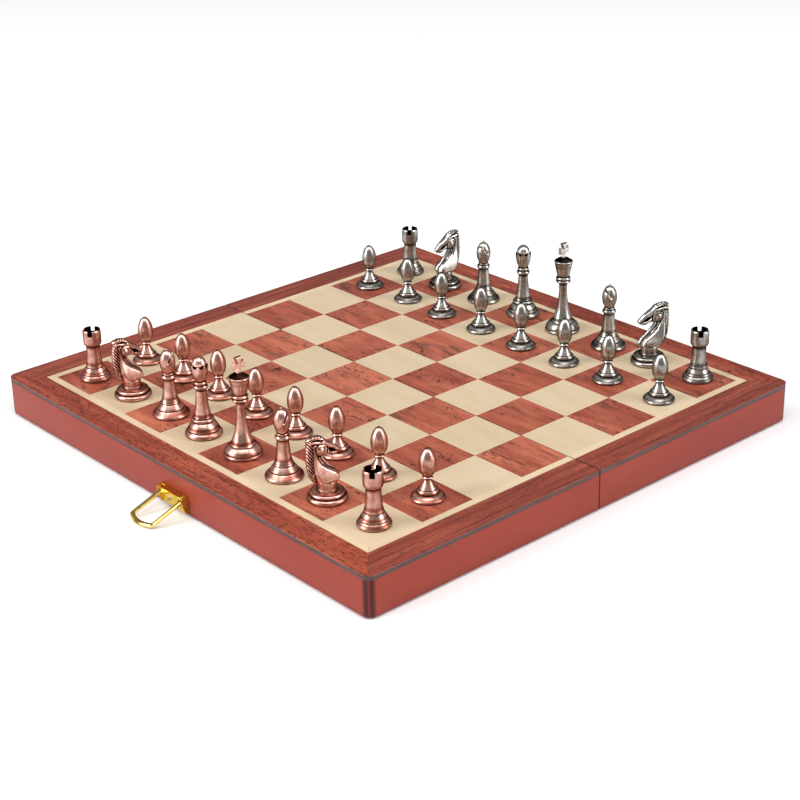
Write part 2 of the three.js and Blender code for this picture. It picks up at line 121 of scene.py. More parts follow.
class Shader:
    """A node material round one Principled shader."""

    def __init__(self, name, **sockets):
        self.material = bpy.data.materials.new(name)
        self.material.use_nodes = True
        self.tree = self.material.node_tree
        self.principled = self.tree.nodes["Principled BSDF"]
        for key, value in sockets.items():
            self.plug(key.replace("_", " "), value)

    def connect(self, socket, value):
        if isinstance(value, bpy.types.NodeSocket):
            self.tree.links.new(value, socket)
        else:
            socket.default_value = value

    def plug(self, name, value):
        self.connect(self.principled.inputs[name], value)

    def node(self, kind, inputs, **settings):
        """A node with its settings made, and its input sockets set or linked."""
        made = self.tree.nodes.new("ShaderNode" + kind)
        for key, value in settings.items():
            setattr(made, key, value)
        for key, value in inputs.items():
            self.connect(made.inputs[key], value)
        return made

    def attribute(self, name, output="Fac"):
        return self.node("Attribute", {}, attribute_name=name).outputs[output]

    def place(self):
        """Object coordinates, in metres."""
        return self.node("TexCoord", {}).outputs["Object"]

    def noise(self, vector, scale, detail=3, roughness=0.55, distortion=0):
        stretched = self.node("VectorMath", {0: vector, 1: scale}, operation="MULTIPLY").outputs[0]
        sockets = {"Vector": stretched, "Scale": 1, "Detail": detail, "Roughness": roughness,
                   "Distortion": distortion}
        return self.node("TexNoise", sockets).outputs["Fac"]

    def math(self, operation, first, second):
        return self.node("Math", {0: first, 1: second}, operation=operation).outputs[0]

    def span(self, value, low, high, to_low=0, to_high=1):
        """value from low..high carried to to_low..to_high, and clamped there."""
        sockets = {"Value": value, "From Min": low, "From Max": high, "To Min": to_low, "To Max": to_high}
        return self.node("MapRange", sockets).outputs["Result"]

    def ramp(self, value, *stops):
        made = self.node("ValToRGB", {"Fac": value})
        elements = made.color_ramp.elements
        while len(elements) < len(stops):
            elements.new(0.5)
        for element, (position, tone) in zip(elements, stops):
            element.position = position
            element.color = tone
        return made.outputs["Color"]

    def toned(self, value, *tones):
        """Screen colours spread evenly along a value, from 0.3 to 0.7."""
        last = len(tones) - 1
        return self.ramp(value, *((0.3 + 0.4 * i / last, colour(*tone)) for i, tone in enumerate(tones)))

    def mix(self, share, first, second, blend="MIX"):
        sockets = {0: share, 6: first, 7: second}
        return self.node("Mix", sockets, data_type="RGBA", blend_type=blend).outputs[2]

    def bump(self, height, distance, strength):
        made = self.node("Bump", {"Height": height, "Distance": distance, "Strength": strength})
        self.plug("Normal", made.outputs[0])


class Veneer(Shader):
    """Polished wood. The grain attribute runs along the fibres, and tint differs from tile to tile."""

    def __init__(self, name, tones, figure, contrast, wave):
        super().__init__(name, Coat_Weight=0.08, Coat_Roughness=0.3, Specular_IOR_Level=0.3)
        self.grain = self.attribute("grain", "Vector")
        if wave:
            self.grain = self.waved(wave)
        broad = self.along(figure, detail=4, distortion=0.6)
        shifted = self.math("ADD", broad, self.span(self.attribute("tint"), 0, 1, -contrast, contrast))
        self.tone = self.toned(shifted, *tones)

    def along(self, scale, **settings):
        """Noise drawn out along the grain."""
        return self.noise(self.grain, (*scale, 1), **settings)

    def waved(self, wave):
        """The grain, bent sideways by a slow noise."""
        slow = self.along((55, 90), detail=2)
        shift = self.math("MULTIPLY", self.math("SUBTRACT", slow, 0.5), wave)
        offset = self.node("CombineXYZ", {"Y": shift}).outputs[0]
        return self.node("VectorMath", {0: self.grain, 1: offset}, operation="ADD").outputs[0]

    def fibres(self, scale, amount):
        """Fine light and dark lines along the grain."""
        self.lines = self.along(scale, detail=2, roughness=0.7)
        shade = self.span(self.lines, 0.3, 0.7, 1 - amount, 1 + amount)
        self.tone = self.mix(1, self.tone, shade, "MULTIPLY")

    def mark(self, scale, threshold, width, amount, tone, distortion=0, patches=None):
        """Darker marks wherever a noise is above its threshold, held to patches if asked."""
        found = self.along(scale, detail=4, roughness=0.62, distortion=distortion)
        share = self.span(found, threshold, threshold + width, 0, amount)
        if patches:
            share = self.math("MULTIPLY", share, self.span(self.along(patches, detail=2), 0.48, 0.6))
        self.tone = self.mix(share, self.tone, colour(*tone))

    def rim(self, amount, tone):
        self.tone = self.mix(self.span(self.attribute("rim"), 0.25, 1, 0, amount), self.tone, colour(*tone))

    def finish(self):
        self.plug("Base Color", self.tone)
        self.plug("Roughness", self.span(self.lines, 0.2, 0.8, 0.35, 0.48))
        self.bump(self.lines, 0.00003, 0.5)
        return self.material


def veneer(name, tones, figure, contrast, fibres, rim, marks=(), wave=0):
    wood = Veneer(name, tones, figure, contrast, wave)
    wood.fibres(*fibres)
    for mark in marks:
        wood.mark(*mark)
    wood.rim(*rim)
    return wood.finish()


def grained(name, scale, detail, tones, relief=None, rough=None, **sockets):
    """A material whose colour follows one noise, and its relief or its roughness too if asked."""
    made = Shader(name, **sockets)
    grain = made.noise(made.place(), scale, detail)
    made.plug("Base Color", made.toned(grain, *tones))
    if relief:
        made.bump(grain, *relief)
    if rough:
        made.plug("Roughness", made.span(grain, 0.3, 0.7, *rough))
    return made.material


def make_lacquer():
    """Red-brown lacquer, with painted shade along the foot and, by the corner attribute, a painted dark
    reflection with a lighter highlight strip round the corners.
    """
    paint = Shader("lacquered_wood", Coat_Weight=0.08, Coat_Roughness=0.12, Specular_IOR_Level=0.2)
    cloud = paint.noise(paint.place(), (14, 14, 30), detail=4)
    fibre = paint.noise(paint.place(), (60, 60, 900), roughness=0.7)
    low = RAIL_LOW[2] * MM
    height = paint.node("SeparateXYZ", {0: paint.place()}).outputs["Z"]
    # Painted shade: the walls darken over their lowest 4 mm, towards the floor.
    foot = paint.span(height, low, low + 0.004, 0.35, 0)
    tone = paint.toned(cloud, (132, 44, 30), (146, 55, 40))
    tone = paint.mix(1, tone, paint.span(fibre, 0.3, 0.7, 0.95, 1.04), "MULTIPLY")
    # The painted shade along the foot is mixed in here.
    tone = paint.mix(foot, tone, colour(96, 36, 28))
    # Painted reflection: dark round the rounded corners, easing to a lighter painted highlight strip down the
    # middle of each corner.
    shares = ((0, 0), (0.6, 0.5), (0.9, 0.93), (0.97, 0.85), (1, 0.3))
    painted_corner_reflection = paint.ramp(paint.attribute("corner"), *((at, (share, share, share, 1)) for at, share in shares))
    paint.plug("Base Color", paint.mix(painted_corner_reflection, tone, colour(50, 10, 5)))
    paint.plug("Roughness", paint.span(fibre, 0.2, 0.8, 0.38, 0.48))
    paint.bump(fibre, 0.00003, 0.6)
    return paint.material


def make_velvet():
    cloth = Shader("tray_velvet", Roughness=0.95, Sheen_Weight=0.5, Sheen_Roughness=0.4,
                   Sheen_Tint=colour(120, 120, 130))
    nap = cloth.noise(cloth.place(), (2600, 2600, 2600), detail=2)
    cloud = cloth.noise(cloth.place(), (60, 60, 60))
    tone = cloth.toned(nap, (14, 14, 16), (40, 40, 44))
    cloth.plug("Base Color", cloth.mix(cloth.span(cloud, 0.4, 0.7, 0, 0.4), tone, colour(56, 56, 62)))
    cloth.bump(nap, 0.0002, 0.7)
    return cloth.material


def plated(name, bright, mid, patina, edge, roughness):
    """Antique plate: bright where it is rubbed, and dark by the attribute that holds patina in hollows,
    painted shade on steep faces and painted shadow inside the queen's crown.
    """
    metal = Shader(name, Metallic=1, Specular_Tint=colour(*edge))
    cloud = metal.noise(metal.place(), (150, 150, 90), detail=4)
    grit = metal.noise(metal.place(), (2400, 2400, 2400))
    dark = metal.math("ADD", metal.attribute("recess"), metal.span(cloud, 0.35, 0.75, -0.04, 0.22))
    dark = metal.math("ADD", dark, metal.span(grit, 0.3, 0.7, -0.05, 0.05))
    # The tones that show patina also show the painted shade on steep faces and the painted shadow in the
    # queen's crown.
    stops = zip((0.02, 0.3, 0.75), (bright, mid, patina))
    metal.plug("Base Color", metal.ramp(dark, *((at, colour(*tone)) for at, tone in stops)))
    rough = metal.span(dark, 0, 0.9, roughness, roughness + 0.25)
    metal.plug("Roughness", metal.math("ADD", rough, metal.span(grit, 0.3, 0.7, -0.03, 0.04)))
    metal.bump(grit, 0.00001, 0.35)
    return metal.material


def make_brass():
    brass = Shader("polished_brass", Metallic=1, Specular_Tint=colour(120, 90, 20))
    smears = brass.noise(brass.place(), (300, 300, 300), detail=4)
    scratches = brass.noise(brass.place(), (200, 4000, 4000), detail=2)
    brass.plug("Base Color", brass.toned(smears, (222, 188, 96), (244, 218, 132)))
    brass.plug("Roughness", brass.span(scratches, 0.3, 0.7, 0.12, 0.24))
    brass.bump(scratches, 0.000006, 0.5)
    return brass.material


DARK, LIGHT, LINE, END, SIDE = range(5)
VENEERS = [
    veneer("dark_square", ((142, 64, 44), (166, 86, 64), (190, 108, 82)), (13, 75), 0.1,
           fibres=((80, 1300), 0.12), rim=(0.5, (140, 70, 54)),
           marks=[((70, 520), 0.52, 0.1, 0.6, (104, 46, 36), 0, (24, 60)),
                  ((22, 110), 0.57, 0.09, 0.7, (80, 50, 48), 1.8),
                  ((230, 420), 0.55, 0.05, 0.95, (40, 26, 26), 1.4, (30, 62))]),
    veneer("light_square", ((200, 178, 146), (206, 184, 153), (211, 190, 160)), (9, 55), 0.06,
           fibres=((60, 1500), 0.018), rim=(0.6, (228, 204, 178)),
           marks=[((240, 2400), 0.64, 0.06, 0.22, (182, 154, 120))]),
    veneer("stringing", ((206, 182, 148), (214, 191, 158), (220, 198, 166)), (9, 55), 0.04,
           fibres=((60, 1500), 0.02), rim=(0.55, (196, 160, 124))),
    veneer("end_border", ((124, 50, 34), (152, 66, 46), (178, 90, 66)), (11, 150), 0.04,
           fibres=((80, 1300), 0.12), rim=(0.35, (100, 44, 34)), wave=0.0035,
           marks=[((230, 1150), 0.53, 0.05, 0.85, (66, 24, 18), 0.5),
                  ((60, 420), 0.58, 0.08, 0.65, (84, 34, 26))]),
    veneer("side_border", ((112, 46, 34), (138, 62, 48), (166, 86, 66)), (7, 230), 0.04,
           fibres=((50, 1500), 0.14), rim=(0.35, (100, 44, 34)), wave=0.0015,
           marks=[((16, 520), 0.55, 0.08, 0.75, (84, 36, 30)),
                  ((180, 1700), 0.57, 0.05, 0.8, (60, 26, 22))]),
]
EDGE_BAND = grained("edge_band", (60, 60, 900), 4, [(70, 50, 50), (92, 70, 68)], relief=(0.00004, 0.5),
                    Roughness=0.5, Specular_IOR_Level=0.25)
LACQUER = make_lacquer()
VELVET = make_velvet()
FELT = grained("felt", (3000, 3000, 3000), 2, [(16, 14, 15), (40, 34, 34)], relief=(0.0002, 0.8),
               Roughness=0.95, Sheen_Weight=0.3)
METALS = {
    "copper": plated("antique_copper", (240, 194, 180), (152, 90, 74), (20, 11, 9), (80, 32, 24), 0.25),
    "pewter": plated("antique_pewter", (210, 205, 198), (98, 91, 85), (12, 10, 10), (50, 42, 38), 0.23),
}
BRASS = make_brass()
STEEL = grained("bright_screws", (900, 900, 900), 3, [(150, 140, 116), (206, 198, 172)], rough=(0.22, 0.38),
                Metallic=1)

# ---------------------------------------------------------------- mesh helpers


def build(name, points, faces, materials, slots=None, sharp=35):
    """A shown mesh from points in millimetres. Edges sharper than the angle stay sharp."""
    mesh = bpy.data.meshes.new(name)
    mesh.from_pydata([Vector(p) * MM for p in points], [], faces)
    for material in materials:
        mesh.materials.append(material)
    if slots:
        mesh.polygons.foreach_set("material_index", slots)
    reworked(mesh, lambda work: bmesh.ops.recalc_face_normals(work, faces=work.faces))
    mesh.shade_smooth()
    mesh.set_sharp_from_angle(angle=math.radians(sharp))
    return show(name, mesh)


def reworked(mesh, change):
    """Makes one change to a mesh, opened as a bmesh."""
    work = bmesh.new()
    work.from_mesh(mesh)
    change(work)
    work.to_mesh(mesh)
    work.free()


def show(name, data):
    piece = bpy.data.objects.new(name, data)
    bpy.context.scene.collection.objects.link(piece)
    return piece


def set_attribute(piece, name, values, kind="FLOAT", field="value"):
    layer = piece.data.attributes.new(name, kind, "POINT")
    layer.data.foreach_set(field, np.asarray(values, np.float32).ravel())


def fit(piece, body, slot, *nodes):
    """Puts a piece on its body and hides the CAD nodes that it stands for; slot is not used."""
    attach(piece, body)
    if nodes:
        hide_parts(*nodes)
    return piece


def apply_modifiers(piece):
    graph = bpy.context.evaluated_depsgraph_get()
    baked = bpy.data.meshes.new_from_object(piece.evaluated_get(graph))
    old = piece.data
    piece.modifiers.clear()
    piece.data = baked
    baked.name = old.name
    bpy.data.meshes.remove(old)


def bevelled(piece, width, segments=2, angle=30):
    made = piece.modifiers.new("bevel", "BEVEL")
    made.width = width * MM
    made.segments = segments
    made.limit_method = "ANGLE"
    made.angle_limit = math.radians(angle)
    made.harden_normals = True
    apply_modifiers(piece)
    return piece


def combined(piece, other, operation):
    """piece with other added to it or cut from it; other is used up."""
    made = piece.modifiers.new("combine", "BOOLEAN")
    made.operation = operation
    made.solver = "EXACT"
    made.object = other
    apply_modifiers(piece)
    bpy.data.objects.remove(other)


def prism(outline, low, high):
    """Points and faces of a flat outline in X and Y, from one height to another."""
    return skin([[(x, y, z) for x, y in outline] for z in (low, high)])


def block(low, high):
    outline = [(low[0], low[1]), (high[0], low[1]), (high[0], high[1]), (low[0], high[1])]
    return prism(outline, low[2], high[2])


def skin(rings):
    """Points and faces of a closed shell from rings of equal length, capped at both ends."""
    count = len(rings[0])
    faces = []
    for start in range(0, (len(rings) - 1) * count, count):
        for i in range(count):
            j = (i + 1) % count
            faces.append((start + i, start + j, start + count + j, start + count + i))
    faces += [tuple(range(start, start + count)) for start in (0, (len(rings) - 1) * count)]
    return [point for ring in rings for point in ring], faces


def swept(lines):
    """Points and faces of a section carried along a path. A line is one point of the section all along it."""
    return skin(list(zip(*lines)))


class Shells:
    """Closed shells gathered into one mesh, each with its material slot."""

    def __init__(self):
        self.points = []
        self.faces = []
        self.slots = []

    def gather(self, points, faces, slot):
        start = len(self.points)
        self.points += points
        self.faces += [tuple(start + i for i in face) for face in faces]
        self.slots += [slot] * len(faces)


# ---------------------------------------------------------------- the board


def corner_arc(side_x, side_y, inset, start, end):
    """Points on the rounded outer corner; 0 degrees is on the side face, 90 on the end face."""
    middle = max(CORNER_RADIUS, inset)
    radius = max(CORNER_RADIUS - inset, 0)
    points = []
    for i in range(CORNER_STEPS + 1):
        angle = math.radians(start + (end - start) * i / CORNER_STEPS)
        points.append((side_x * (HALF_WIDTH - middle + radius * math.cos(angle)),
                       side_y * (HALF_DEPTH - middle + radius * math.sin(angle))))
    return points


def open_side(side_y, inset, z):
    """A line round the three outer faces of one half, inset from them, from end to end of the seam."""
    seam = side_y * (SEAM_FACE + SEAM_EASE + inset)
    outline = [(inset - HALF_WIDTH, seam), *corner_arc(-1, side_y, inset, 0, 90),
               *corner_arc(1, side_y, inset, 90, 0), (HALF_WIDTH - inset, seam)]
    return [(x, y, z) for x, y in outline]


def corner_share(x, y):
    """How far round a rounded corner a point is: 0 on the flat faces, 1 in the middle of the corner."""
    out_x = abs(x) - HALF_WIDTH + CORNER_RADIUS
    out_y = abs(y) - HALF_DEPTH + CORNER_RADIUS
    if min(out_x, out_y) <= 0:
        return 0.0
    return math.sqrt(math.sin(2 * math.atan2(out_y, out_x)))


def inset_outline(outline, distance):
    """A convex outline, anticlockwise, moved inwards by a distance."""
    count = len(outline)
    moved = []
    for i in range(count):
        before, here, after = (Vector(outline[(i + k) % count]) for k in (-1, 0, 1))
        first = (here - before).normalized()
        second = (after - here).normalized()
        inward = Vector((-first.y - second.y, first.x + second.x))
        bisector = inward.normalized()
        reach = bisector.dot(Vector((-first.y, first.x)))
        moved.append(tuple(here + bisector * distance / max(reach, 0.3)))
    return moved


def anticlockwise(outline):
    area = sum(a[0] * b[1] - a[1] * b[0] for a, b in zip(outline, outline[1:] + outline[:1]))
    return outline if area > 0 else outline[::-1]


class Marquetry(Shells):
    """The veneer tiles of one half, each a thin closed slab, gathered into one mesh."""

    def __init__(self, seed):
        super().__init__()
        self.random = random.Random(seed)
        self.grain = []
        self.tint = []
        self.rim = []

    def add(self, outline, along_x, slot):
        outline = anticlockwise(outline)
        layers = [
            (outline, SURFACE_LOW[2], 1),
            (outline, BOARD_TOP - MICRO_BEVEL / 2, 1),
            (inset_outline(outline, MICRO_BEVEL), BOARD_TOP, 1),
            (inset_outline(outline, RIM_LINE), BOARD_TOP, 0),
        ]
        points, faces = skin([[(x, y, z) for x, y in ring] for ring, z, _ in layers])
        self.gather(points, faces, slot)
        self.rim += [edge for _, _, edge in layers for _ in outline]
        self.tint += [self.random.random()] * len(points)
        shift = [self.random.uniform(-GRAIN_SHIFT, GRAIN_SHIFT) for _ in range(3)]
        for x, y, z in points:
            along, across = (x, y) if along_x else (y, x)
            self.grain.append(((along + shift[0]) * MM, (across + shift[1]) * MM, (z + shift[2]) * MM))

    def finish(self, name):
        piece = build(name, self.points, self.faces, VENEERS, self.slots, sharp=20)
        set_attribute(piece, "grain", self.grain, "FLOAT_VECTOR", "vector")
        set_attribute(piece, "tint", self.tint)
        set_attribute(piece, "rim", self.rim)
        return piece


def marquetry(side, side_y, body):
    """Squares, stringing and mitred border of one half."""
    field = 4 * SQUARE
    line = field + STRINGING
    seam = SEAM_FACE + SEAM_EASE
    tiles = Marquetry(seed=11 if side_y < 0 else 29)

    def tile(corners, along_x, slot, side_x=1, arc=()):
        tiles.add([(side_x * x, side_y * y) for x, y in corners] + list(arc), along_x, slot)

    for file in range(8):
        for row in range(4):
            x0 = (file - 4) * SQUARE
            near = seam if row == 0 else row * SQUARE
            far = (row + 1) * SQUARE
            rank = 4 + row if side_y > 0 else 3 - row
            tile([(x0, near), (x0 + SQUARE, near), (x0 + SQUARE, far), (x0, far)], True,
                 DARK if (file + rank) % 2 == 0 else LIGHT)
    for side_x in (-1, 1):
        tile([(field, seam), (line, seam), (line, line), (field, field)], False, LINE, side_x)
        arc = corner_arc(side_x, side_y, 0, 0, 45) + [(side_x * line, side_y * line)]
        tile([(line, seam), (HALF_WIDTH, seam)], False, SIDE, side_x, arc)
    tile([(-field, field), (field, field), (line, line), (-line, line)], True, LINE)
    arc = corner_arc(1, side_y, 0, 45, 90) + corner_arc(-1, side_y, 0, 90, 45)
    tile([(-line, line), (line, line)], True, END, arc=arc)
    fit(tiles.finish(f"{side}_marquetry"), body, "marquetry", f"{side}_playing_surface")


def edge_band(side, side_y, body):
    """The dark panel under the veneer, with rounded corners."""
    low, high = PANEL_LOW[2], PANEL_HIGH[2]
    rings = [open_side(side_y, inset, z)
             for inset, z in ((0.15, low), (0, low + 0.2), (0, high - 0.1), (0.1, high))]
    piece = build(f"{side}_edge_band", *skin(rings), [EDGE_BAND])
    fit(piece, body, "panel_edge", f"{side}_top_panel")


def case(side, side_y, body, outer_rail):
    """The three lacquered outer walls of one half, as one frame with rounded corners and edges."""
    low, high = RAIL_LOW[2], RAIL_HIGH[2]
    soft = EDGE_ROUNDING
    section = [(soft, low), (soft * 0.3, low + soft * 0.3), (0, low + soft), (0, high - 0.15), (0.15, high),
               (WALL, high), (WALL, low + soft), (WALL - soft, low)]
    points, faces = swept([open_side(side_y, inset, z) for inset, z in section])
    piece = build(f"{side}_case", points, faces, [LACQUER])
    # The corner attribute places the painted reflection on the lacquer's rounded corners.
    set_attribute(piece, "corner", [corner_share(x, y) for x, y, _ in points])
    reworked(piece.data, lambda work: bmesh.ops.remove_doubles(work, verts=work.verts, dist=1e-7))
    fit(piece, body, "lacquered_wood", f"{side}_left_rail", f"{side}_right_rail", outer_rail)


def tray(side, body):
    """The foam tray: a slab with two troughs for the pieces, with soft edges and a velvet face."""
    low, high = box_mm(f"{side}_storage_tray")
    middle = (low[1] + high[1]) / 2
    piece = build(f"{side}_tray", *block(low, high), [VELVET])
    x0, y0 = low[0] + TRAY_MARGIN, low[1] + TRAY_MARGIN
    x1, y1 = high[0] - TRAY_MARGIN, high[1] - TRAY_MARGIN
    for near, far in ((y0, middle - TRAY_RIB / 2), (middle + TRAY_RIB / 2, y1)):
        trough = block((x0, near, low[2] - 5), (x1, far, high[2] - TRAY_FLOOR))
        combined(piece, build("trough", *trough, [VELVET]), "DIFFERENCE")
    bevelled(piece, 1.6, 3)
    fit(piece, body, "tray_foam", f"{side}_storage_tray")


def build_halves():
    for side, side_y, outer_rail in (("front", -1, "front_latch_rail"), ("back", 1, "back_keeper_rail")):
        body = f"{side}_half"
        marquetry(side, side_y, body)
        edge_band(side, side_y, body)
        case(side, side_y, body, outer_rail)
        tray(side, body)
        paint_node(f"{side}_seam_rail", LACQUER)


def paint_node(node, material):
    """Gives a carried-over CAD node its material."""
    mesh = frame["nodes"][node].data
    mesh.materials.clear()
    mesh.materials.append(material)


# ---------------------------------------------------------------- turned shapes

GROOVE_DEPTH = 0.45
RECESS_WINDOW = 2.2
RECESS_DEPTH = 0.9
# Painted shade on the steep faces of the metal pieces, added to their patina.
STEEP_SHADE = 0.12
SPLINE_SPANS = (((0, 1), (1, 2), (2, 3)), ((0, 2), (1, 3)), ((1, 2),))


def curve_through(points, steps=3):
    """A smooth line through points (centripetal Catmull-Rom), with its ends kept."""
    spots = [Vector(p) for p in points]
    if len(spots) < 3:
        return spots
    spots = [2 * spots[0] - spots[1]] + spots + [2 * spots[-1] - spots[-2]]
    line = []
    for near in zip(spots, spots[1:], spots[2:], spots[3:]):
        knots = [0]
        for p, q in zip(near, near[1:]):
            knots.append(knots[-1] + max((q - p).length, 1e-6) ** 0.5)
        gap = knots[2] - knots[1]
        line += [spline_point(near, knots, knots[1] + gap * i / steps) for i in range(steps)]
    return line + [spots[-2]]


def spline_point(spots, knots, t):
    """Three rounds of blending neighbours, each between the knots that its span names."""
    for spans in SPLINE_SPANS:
        shares = [(t - knots[a]) / (knots[b] - knots[a]) for a, b in spans]
        spots = [p * (1 - share) + q * share for p, q, share in zip(spots, spots[1:], shares)]
    return spots[0]


def profile(strokes):
    """One line of (radius, height, groove) from smooth strokes, with a fine groove where two strokes meet."""
    line = []
    for stroke in strokes:
        smooth = on_line(*curve_through(stroke))
        if line:
            below, above = line[-1], smooth[0]
            bottom = max(min(below.x, above.x) - GROOVE_DEPTH, 0.05)
            line.append(Vector((bottom, (below.y + above.y) / 2, 1)))
        line += smooth
    return line


def on_line(*points):
    """Straight stretches of a profile."""
    return [Vector((radius, height, 0)) for radius, height in points]


def patina_and_shade_along(line):
    """The darkness of each point of a profile: patina from how far behind its neighbours it lies, and painted
    shade from how steep it is.
    """
    lengths = [0]
    for a, b in zip(line, line[1:]):
        lengths.append(lengths[-1] + math.hypot(b.x - a.x, b.y - a.y))
    values = []
    for here, at in zip(line, lengths):
        near = [p for p, s in zip(line, lengths) if abs(s - at) <= RECESS_WINDOW]
        mean = sum(p.x for p in near) / len(near)
        run = near[-1].x - near[0].x
        rise = near[-1].y - near[0].y
        steep = rise * rise / max(run * run + rise * rise, 1e-9)
        darkness = min(max((mean - here.x) / RECESS_DEPTH, 0), 1)
        # Painted shade on steep faces is added to the patina of hollows and grooves.
        values.append(max(darkness + STEEP_SHADE * steep * steep, here.z))
    return values


def spin(line, sides=LATHE_SIDES, angles=None, shape=None):
    """Points, faces and darkness values (patina and painted shade) of a turned shell. shape may move a point:
    (radius, height, angle).
    """
    angles = angles or [TURN * i / sides for i in range(sides)]
    count = len(angles)
    darkness = patina_and_shade_along(line)
    points, faces, values, rings = [], [], [], []
    for (radius, height, _), value in zip(line, darkness):
        if radius < 1e-4:
            rings.append([len(points)] * count)
            points.append((0, 0, height))
            values.append(value)
            continue
        rings.append(list(range(len(points), len(points) + count)))
        for angle in angles:
            r, z = shape(radius, height, angle) if shape else (radius, height)
            points.append((r * math.cos(angle), r * math.sin(angle), z))
            values.append(value)
    for lower, upper in zip(rings, rings[1:]):
        for i in range(count):
            j = (i + 1) % count
            corners = []
            for point in (lower[i], lower[j], upper[j], upper[i]):
                if point not in corners:
                    corners.append(point)
            if len(corners) > 2:
                faces.append(tuple(corners))
    return points, faces, values


class Casting(Shells):
    """Shells that make up one chess piece, with their darkness values: patina and painted shade."""

    def __init__(self):
        super().__init__()
        self.values = []

    def add(self, points, faces, values, slot=0):
        self.gather(points, faces, slot)
        self.values += values

    def mesh(self, name, metal):
        piece = build(name, self.points, self.faces, [metal, FELT], self.slots)
        set_attribute(piece, "recess", self.values)
        mesh = piece.data
        bpy.data.objects.remove(piece)
        return mesh


def turned(strokes, foot, tail=(), well=None, **spinning):
    """A piece turned from smooth strokes and a straight tail, on a felt with the foot's radius.

    well is (height, radius, patina): the darkness of all that lies above that height inside that radius;
    patina in the rook and king, painted shadow inside the queen's crown.
    """
    cast = Casting()
    underside = on_line((0, FELT_HEIGHT), (strokes[0][0][0] - 0.6, FELT_HEIGHT))
    points, faces, values = spin(underside + profile(strokes) + on_line(*tail), **spinning)
    if well:
        floor, reach, patina = well
        values = [patina if p[2] > floor and math.hypot(p[0], p[1]) < reach else value
                  for p, value in zip(points, values)]
    cast.add(points, faces, values)
    top = FELT_HEIGHT + 0.2
    cast.add(*spin(on_line((0, 0), (foot, 0), (foot, top), (0, top))), slot=1)
    return cast


def pawn():
    return turned([
        [(9.9, 0.45), (10.4, 0.8), (10.55, 1.3), (10.1, 2.1), (8.9, 3.2), (7.6, 4.1), (6.9, 4.35)],
        [(6.3, 4.5), (6.65, 5.1), (6.5, 6.1), (5.9, 6.9)],
        [(5.3, 7.2), (4.6, 8.4), (3.5, 10.2), (2.55, 12), (2.25, 13.2)],
        [(2.45, 13.5), (3.3, 14.2), (2.7, 15)],
        [(2.7, 15.3), (3.9, 16.8), (4.95, 19.4), (5.35, 22.6), (5.1, 26), (4.2, 29), (2.8, 31.6),
         (1.3, 33), (0, 33.4)],
    ], 9.6)


NOTCH_WIDTH = 2.8
NOTCH_BOTTOM = 32.6
TOWER_RADIUS = 5.1
WELL_RADIUS = 4.32


def rook():
    half = NOTCH_WIDTH / 2 / TOWER_RADIUS
    angles = []
    for turn in range(4):
        centre = TURN * (turn / 4 + 0.125)
        angles += [centre + half * k for k in (-1.02, -0.98, -0.5, 0, 0.5, 0.98, 1.02)]
        angles += [centre + half + (TURN / 4 - 2 * half) * i / 9 for i in range(1, 9)]

    def battlement(radius, height, angle):
        cut = abs(angle % (TURN / 4) - TURN / 8) < half and radius > WELL_RADIUS
        return radius, min(height, NOTCH_BOTTOM) if cut else height

    return turned([
        [(9.9, 0.45), (10.4, 0.8), (10.55, 1.4), (10.1, 2.6), (8.9, 4.2)],
        [(8.5, 4.4), (8.65, 4.75), (8.2, 5.7), (7, 7.6), (6.3, 8.9)],
        [(5.9, 9.1), (6.05, 9.5), (5.8, 10.6), (5.2, 14), (4.8, 19), (4.65, 24.1)],
        [(4.7, 24.5), (5.2, 25), (5.9, 26), (6.15, 27.2), (6.15, 30), (6.15, 33.5), (6.15, 35.6),
         (5.8, 36.2)],
    ], 9.5, tail=[(4.6, 36.2), (4.35, 35.9), (4.3, 33.4), (4.1, 32.4), (0, 32.4)], well=(32, 4.5, 1.0),
        angles=angles, shape=battlement)


def bishop():
    return turned([
        [(11.6, 0.45), (12.1, 0.8), (12.2, 1.4), (11.7, 2.4), (10.6, 3.6), (9.3, 4.9)],
        [(8.6, 5.1), (8.75, 5.6), (8.2, 6.6), (7.2, 8), (6.6, 8.8)],
        [(6.2, 9), (6.4, 9.4), (6, 10.2)],
        [(5.8, 10.4), (5.2, 12.2), (4.6, 16), (4.15, 20), (3.75, 25.2)],
        [(3.8, 25.5), (4.7, 26.4), (4.85, 27.3), (4.3, 28.4)],
        [(3.5, 28.6), (3.8, 29.2), (3.6, 29.9)],
        [(3.3, 30.2), (4.2, 32.2), (5, 35), (5.2, 37.8), (4.9, 40.6), (3.9, 43.2), (2.3, 45.2), (1, 45.9)],
        [(0.8, 46), (1, 46.4), (0.6, 46.75), (0, 46.8)],
    ], 11)


CROWN_POINTS = 8
CROWN_FOOT = 46.9
CROWN_TOP = 49.5
CROWN_DIP = 2.3


